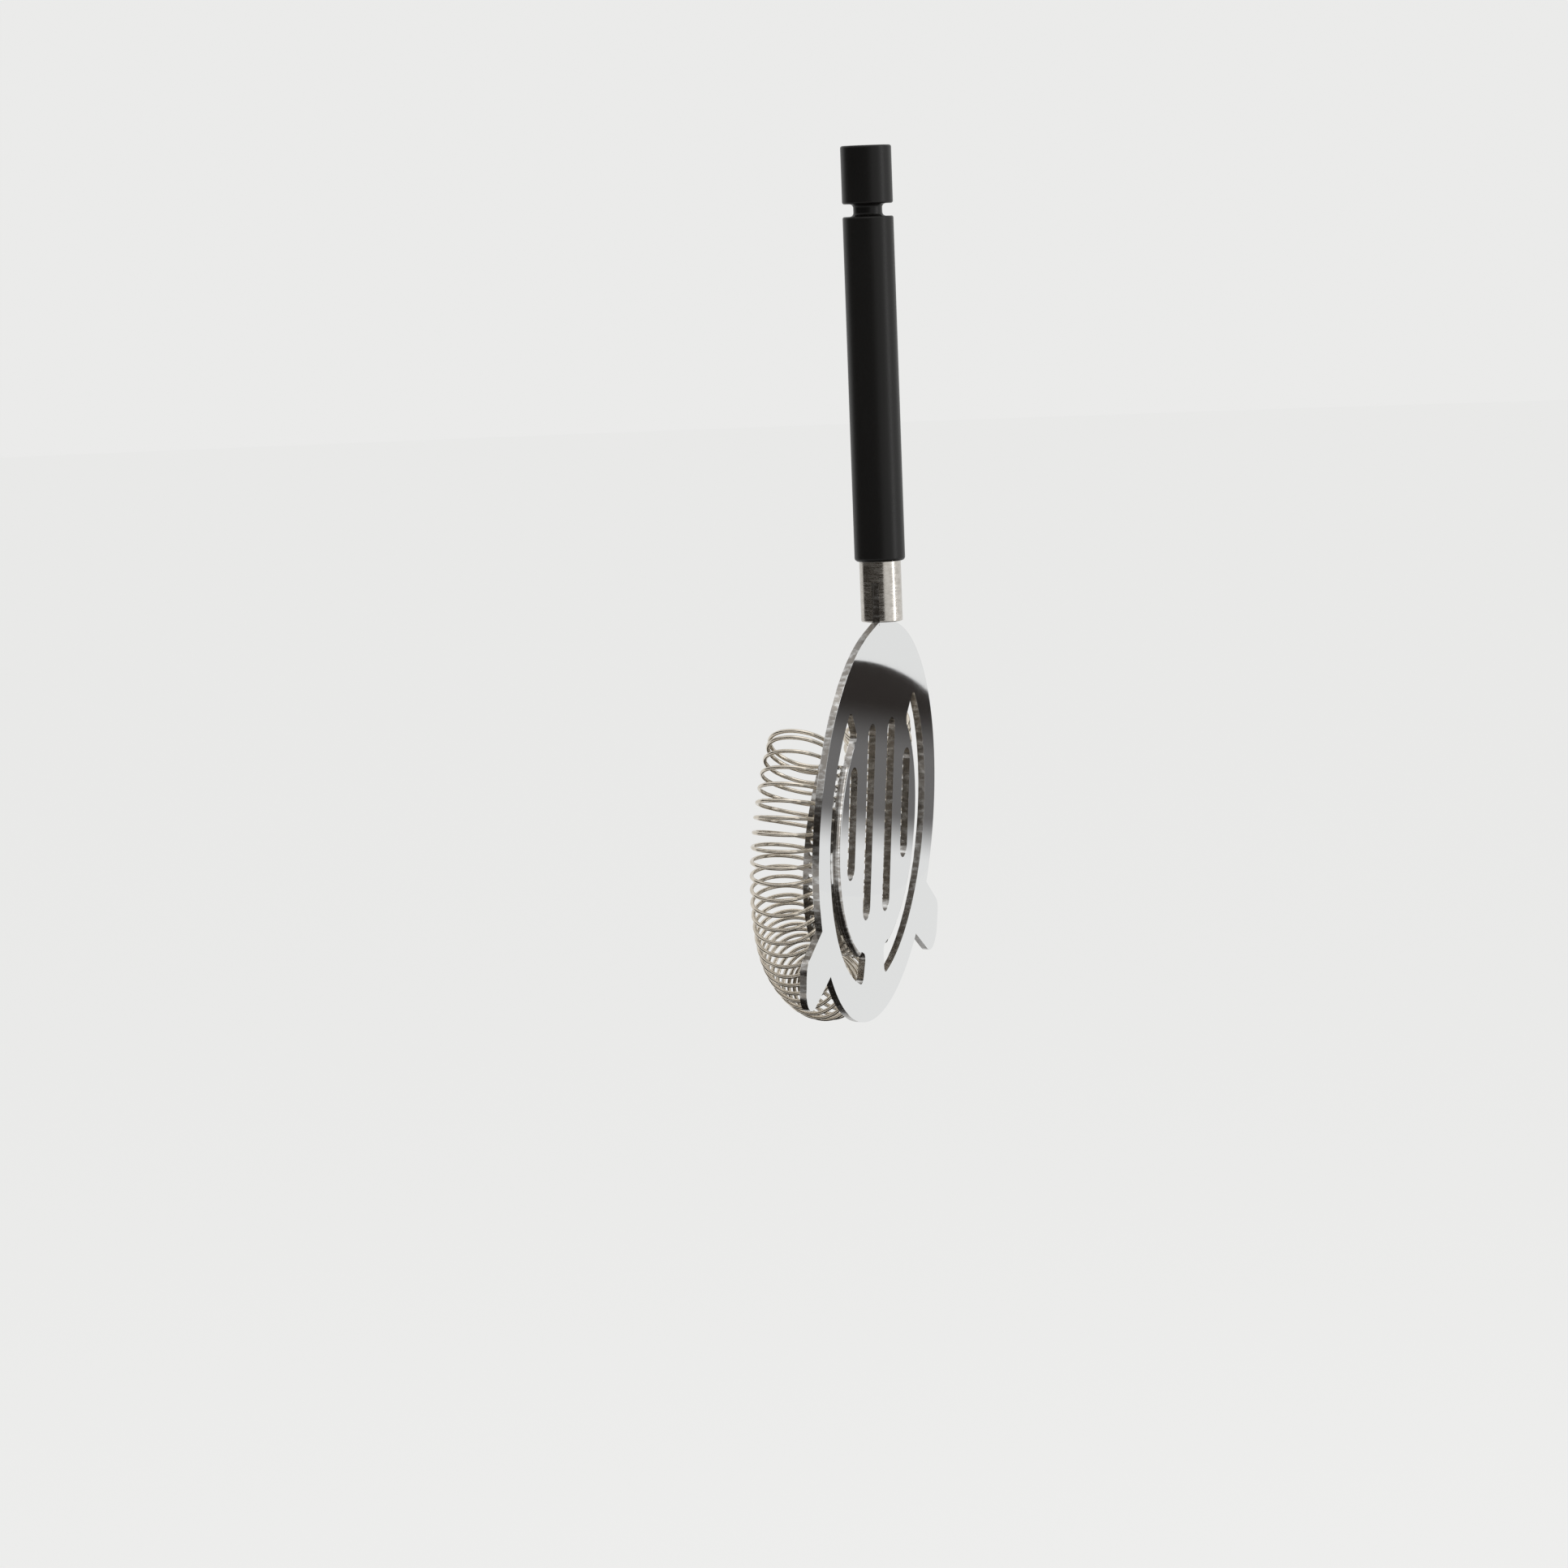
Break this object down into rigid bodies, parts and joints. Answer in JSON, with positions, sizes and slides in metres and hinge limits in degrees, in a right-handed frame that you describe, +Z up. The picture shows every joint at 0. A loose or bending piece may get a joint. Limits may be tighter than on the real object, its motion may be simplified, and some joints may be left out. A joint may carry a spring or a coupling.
{
  "type": "hawthorne strainer",
  "caption": "Bar strainer: polished slotted plate with two ears, a coil spring threaded behind it, and a slim black bar handle with a neck to hang it by.",
  "frame": {"origin": "middle of the hanging neck, on the handle's axis", "axes": "+Z up along the handle, from the plate to the knob; the plate's polished front faces -Y and the spring stands on the +Y side; +X is to the right seen from the front"},
  "size_m": [0.0928, 0.0271, 0.1767],
  "materials": {
    "black_coat": "satin black powder coat",
    "brushed_bar": "ground and brushed stainless bar",
    "polished_plate": "mirror-polished stainless sheet with brushed edges",
    "spring_wire": "bright drawn stainless wire"
  },
  "bodies": {
    "strainer": {"hanging_knob": "black_coat", "handle_sleeve": "black_coat", "ferrule": "brushed_bar", "strainer_plate": "polished_plate"},
    "spring": {"coil_spring": "spring_wire"}
  },
  "joints": [
    {"name": "coil_tilt", "type": "hinge", "parent": "strainer", "child": "spring", "pos_m": [0, 0.00562, -0.10471], "axis": [-1, 0, 0], "range_deg": [-0.8, 0.5], "stiffness_Nm_per_rad": 0.5}
  ]
}
